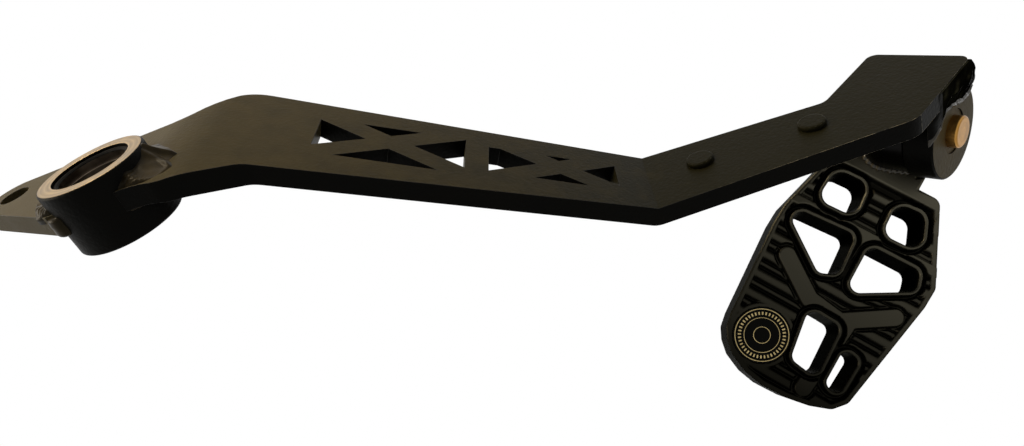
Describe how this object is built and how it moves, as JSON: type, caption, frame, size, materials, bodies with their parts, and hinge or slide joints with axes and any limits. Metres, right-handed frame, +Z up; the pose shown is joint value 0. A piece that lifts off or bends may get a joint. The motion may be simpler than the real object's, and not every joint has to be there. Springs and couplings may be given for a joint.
{
  "type": "rear brake pedal",
  "caption": "Bent steel brake lever with a pivot tube, a push-rod ear, truss cut-outs and a grooved foot pad that turns on a spring-locked swivel at its tip.",
  "frame": {"origin": "on the pivot axis, at the middle of the pivot tube", "axes": "+X forward along the arm, +Y along the pivot axis towards the inboard side, +Z up"},
  "size_m": [0.2477, 0.1415, 0.0666],
  "materials": {
    "powder_coat": "satin black powder coat with a slight warm tone",
    "bare_steel": "turned bare steel, fine circular marks",
    "ball_steel": "ground hardened steel",
    "bronze": "sintered bronze, oiled",
    "brass": "turned brass",
    "rubber": "matte black sealing rubber",
    "blackened_steel": "blackened steel, satin",
    "weld_metal": "bare weld metal with ripples",
    "anodised": "black anodised, machined facets",
    "badge_face": "dark domed face with thin gold rings, no lettering"
  },
  "bodies": {
    "arm": {"pedal_arm": "powder_coat", "pivot_hub": "bare_steel", "pivot_bush": "bronze", "seal_inboard": "rubber", "seal_outboard": "rubber", "hub_weld_inboard": "powder_coat", "hub_weld_outboard": "powder_coat", "stud_rear": "powder_coat", "stud_front": "powder_coat", "end_flange": "bare_steel", "flange_weld": "powder_coat", "button_seal": "rubber"},
    "pad": {"thrust_washer": "bronze", "swivel_knuckle": "blackened_steel", "knuckle_weld": "weld_metal", "lock_balls": "ball_steel", "foot_pad": "anodised", "pad_badge": "badge_face"},
    "button": {"lock_button": "brass", "button_spring": "ball_steel"}
  },
  "joints": [
    {"name": "pad_swivel", "type": "hinge", "parent": "arm", "child": "pad", "pos_m": [0.19733, -0.07215, -0.02916], "axis": [0.6947, 0, 0.7193], "range_deg": [0, 54]},
    {"name": "button_press", "type": "slide", "parent": "pad", "child": "button", "axis": [-0.6947, 0, -0.7193], "range_m": [0, 0.002], "stiffness_N_per_m": 1500, "springref_m": -0.002}
  ]
}
